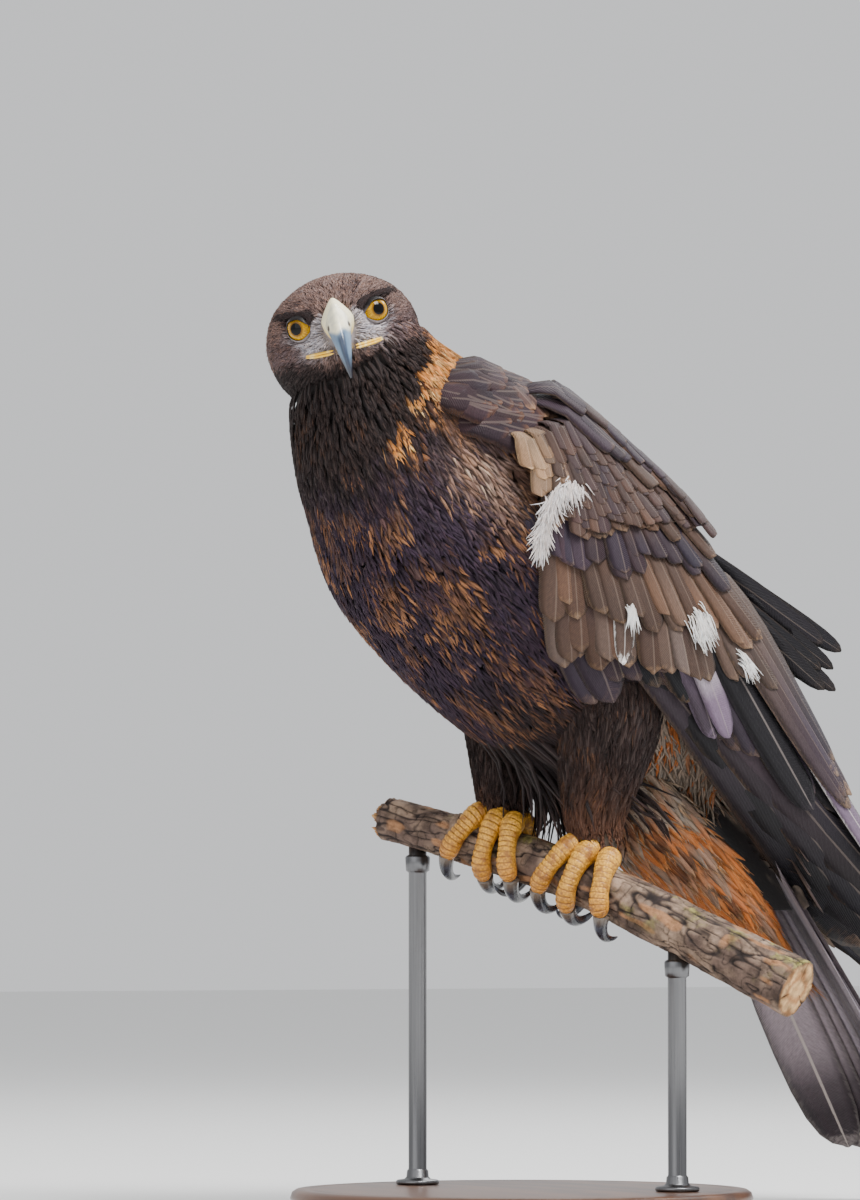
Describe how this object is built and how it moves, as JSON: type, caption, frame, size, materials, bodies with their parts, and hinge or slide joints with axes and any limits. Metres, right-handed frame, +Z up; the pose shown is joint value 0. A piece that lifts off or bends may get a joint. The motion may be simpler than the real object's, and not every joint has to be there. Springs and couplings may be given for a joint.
{
  "type": "golden eagle display model",
  "caption": "Life-size still golden eagle on a cut length of branch, head turned to look over its left shoulder, held by a plain round display stand.",
  "frame": {"origin": "centre of the stand's underside, on the floor", "axes": "+Z up; the bird's breast faces -Y; its left side is at +X"},
  "size_m": [0.3318, 0.5248, 0.6057],
  "materials": {
    "body_plumage": "matte dark brown contour feathers with paler edges",
    "wing_plumage": "matte brown vanes with pale edges, purple-grey on the flight feathers",
    "nape_plumage": "golden lance-shaped hackles with dark shafts",
    "tail_plumage": "satin grey-brown vanes with faint dark bars",
    "vent_plumage": "soft rufous and dark brown long feathers",
    "bill_horn": "polished blue-grey horn, darker at the tip",
    "talon_horn": "polished blue-black horn",
    "cere_skin": "waxy pale yellow skin",
    "toe_skin": "scaled orange-yellow skin",
    "eye_surface": "wet clear cornea over an amber iris and a black pupil",
    "bark": "weathered grey-brown bark with moss and lichen",
    "stand_wood": "satin plain wood",
    "rod_metal": "satin steel rod"
  },
  "bodies": {
    "root": {"torso": "body_plumage", "head": "body_plumage", "neck": "nape_plumage", "tail": "tail_plumage", "undertail": "vent_plumage", "wing_left": "wing_plumage", "wing_right": "wing_plumage", "cere": "cere_skin", "bill_upper": "bill_horn", "bill_lower": "bill_horn", "eye_left": "eye_surface", "eye_right": "eye_surface", "thigh_left": "body_plumage", "thigh_right": "body_plumage", "shank_left": "body_plumage", "shank_right": "body_plumage", "perch_branch": "bark", "stand_base": "stand_wood", "stand_rod_1": "rod_metal", "stand_rod_2": "rod_metal", "toe_inner_left": "toe_skin", "talon_inner_left": "talon_horn", "toe_middle_left": "toe_skin", "talon_middle_left": "talon_horn", "toe_outer_left": "toe_skin", "talon_outer_left": "talon_horn", "toe_hind_left": "toe_skin", "talon_hind_left": "talon_horn", "toe_inner_right": "toe_skin", "talon_inner_right": "talon_horn", "toe_middle_right": "toe_skin", "talon_middle_right": "talon_horn", "toe_outer_right": "toe_skin", "talon_outer_right": "talon_horn", "toe_hind_right": "toe_skin", "talon_hind_right": "talon_horn"}
  },
  "joints": []
}
